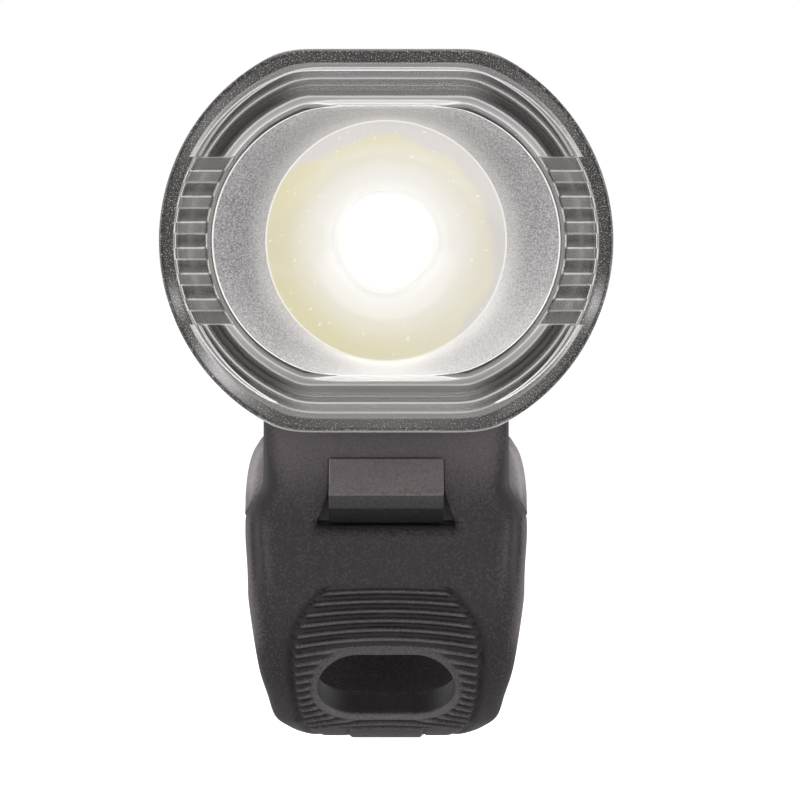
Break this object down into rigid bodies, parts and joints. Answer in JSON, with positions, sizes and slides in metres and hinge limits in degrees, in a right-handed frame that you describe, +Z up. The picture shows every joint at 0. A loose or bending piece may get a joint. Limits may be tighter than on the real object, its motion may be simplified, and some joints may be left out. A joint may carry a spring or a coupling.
{
  "type": "bicycle headlight",
  "caption": "Compact bicycle headlight with a clear ribbed front over a round collimator, a dark housing with top button, and a stretch-strap clamp for a handlebar.",
  "frame": {"origin": "on the handlebar's axis, midway along the clamp", "axes": "+X along the handlebar, +Y back towards the rider, +Z up; the lamp shines along -Y"},
  "size_m": [0.046, 0.0692, 0.072],
  "materials": {
    "clear_cover": "clear moulded polycarbonate with an etched rim",
    "reflector": "satin vacuum-metallised plastic",
    "collimator": "clear acrylic, lit from behind",
    "holder_plastic": "moulded black nylon",
    "emitter": "phosphor under clear silicone",
    "led_board": "white solder mask on aluminium",
    "screw_steel": "plated steel",
    "heat_sink": "sawn and deburred",
    "lead_sleeve": "PVC insulated wire",
    "housing_plastic": "fine spark-eroded texture",
    "seal_rubber": "moulded silicone seal",
    "rear_plastic": "fine spark-eroded texture",
    "cell_sleeve": "shrink sleeve over a steel can",
    "foam": "closed-cell foam",
    "nickel": "nickel-plated sheet",
    "circuit_board": "green solder mask on glass fibre",
    "plunger_plastic": "moulded acetal",
    "button_rubber": "smooth moulded silicone",
    "light_pipe": "clear acrylic",
    "flap_rubber": "smooth moulded silicone",
    "base_plastic": "fine spark-eroded texture",
    "pad_rubber": "soft ribbed silicone",
    "strap_silicone": "matt moulded silicone"
  },
  "bodies": {
    "lamp": {"lens_cover": "clear_cover", "reflector_plate": "reflector", "collimator_lens": "collimator", "lens_holder": "holder_plastic", "led_emitter": "emitter", "led_board": "led_board", "led_board_screws": "screw_steel", "heat_sink": "heat_sink", "led_leads": "lead_sleeve", "main_housing": "housing_plastic", "rear_gasket": "seal_rubber", "rear_cover": "rear_plastic", "rear_cover_screws": "screw_steel", "battery_cell": "cell_sleeve", "battery_pads": "foam", "battery_end_pad": "foam", "battery_tabs": "nickel", "control_board": "circuit_board", "control_board_screws": "screw_steel", "switch_body": "holder_plastic", "light_pipe": "light_pipe", "usb_socket": "nickel", "mount_base": "base_plastic", "base_screws": "screw_steel", "bar_pad": "pad_rubber", "strap_rear": "strap_silicone", "strap_pin": "screw_steel"},
    "button": {"power_button": "button_rubber"},
    "plunger": {"switch_plunger": "plunger_plastic"},
    "flap": {"usb_flap": "flap_rubber"},
    "strap_end": {"strap_front": "strap_silicone"}
  },
  "joints": [
    {"name": "button_press", "type": "slide", "parent": "lamp", "child": "button", "axis": [0, 0, -1], "range_m": [0, 0.0006], "stiffness_N_per_m": 3000},
    {"name": "plunger_press", "type": "slide", "parent": "lamp", "child": "plunger", "axis": [0, 0, -1], "range_m": [0, 0.0006]},
    {"name": "flap_open", "type": "hinge", "parent": "lamp", "child": "flap", "pos_m": [0, 0.04115, 0.0424], "axis": [-1, 0, 0], "range_deg": [0, 110]},
    {"name": "strap_unhook", "type": "hinge", "parent": "lamp", "child": "strap_end", "pos_m": [0, -0.00693, -0.01486], "axis": [1, 0, 0], "range_deg": [0, 80], "stiffness_Nm_per_rad": 0.02}
  ],
  "couplings": [
    {"joint": "plunger_press", "follows": "button_press", "ratio": 1}
  ]
}
